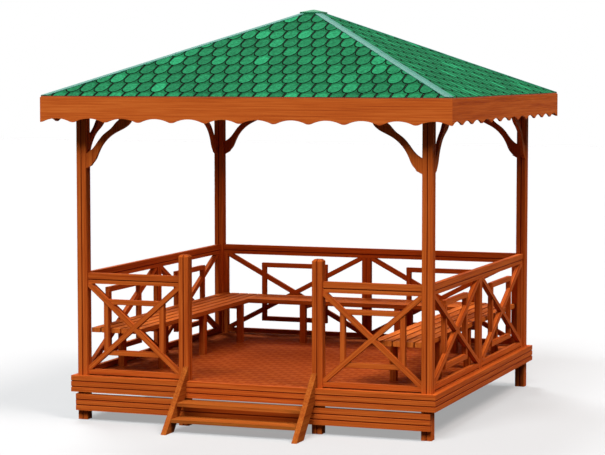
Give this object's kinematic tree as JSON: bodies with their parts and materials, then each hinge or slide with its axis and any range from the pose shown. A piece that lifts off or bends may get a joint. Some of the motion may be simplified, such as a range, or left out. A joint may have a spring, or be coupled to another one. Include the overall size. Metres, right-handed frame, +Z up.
{
  "type": "garden gazebo",
  "caption": "Square timber garden gazebo with a shingled pyramid roof, scalloped fascia, lattice railings, bench seats on three sides and two entrance steps.",
  "frame": {"origin": "on the ground, at the centre of the whole plan, steps included", "axes": "+X to the right along the front, +Y from the steps to the back, +Z up"},
  "size_m": [3.588, 3.844, 3.5038],
  "materials": {
    "stained_timber": "satin",
    "floor_timber": "satin",
    "bench_timber": "satin",
    "roof_timber": "satin",
    "shingled_boards": "matte",
    "shingle_cap": "matte",
    "hip_strip": "matte"
  },
  "bodies": {
    "root": {"bench_back": "bench_timber", "bench_left": "bench_timber", "bench_legs": "bench_timber", "bench_right": "bench_timber", "brackets_back_left": "stained_timber", "brackets_back_right": "stained_timber", "brackets_front_left": "stained_timber", "brackets_front_right": "stained_timber", "eaves_beam": "roof_timber", "fascia_back": "stained_timber", "fascia_front": "stained_timber", "fascia_left": "stained_timber", "fascia_right": "stained_timber", "floor_deck": "floor_timber", "floor_joists": "floor_timber", "front_skirt": "stained_timber", "handrail_back": "stained_timber", "handrail_front": "stained_timber", "handrail_left": "stained_timber", "handrail_right": "stained_timber", "hip_rafters": "roof_timber", "hip_strips": "hip_strip", "king_block": "roof_timber", "newels": "stained_timber", "panel_back": "stained_timber", "panel_left": "stained_timber", "panel_right": "stained_timber", "panels_front": "stained_timber", "post_back_left": "stained_timber", "post_back_right": "stained_timber", "post_front_left": "stained_timber", "post_front_right": "stained_timber", "rafters": "roof_timber", "rim_back": "stained_timber", "rim_front": "stained_timber", "rim_left": "stained_timber", "rim_right": "stained_timber", "roof_back": "shingled_boards", "roof_cap": "shingle_cap", "roof_front": "shingled_boards", "roof_left": "shingled_boards", "roof_right": "shingled_boards", "step_stringers": "stained_timber", "step_treads": "floor_timber"}
  },
  "joints": []
}
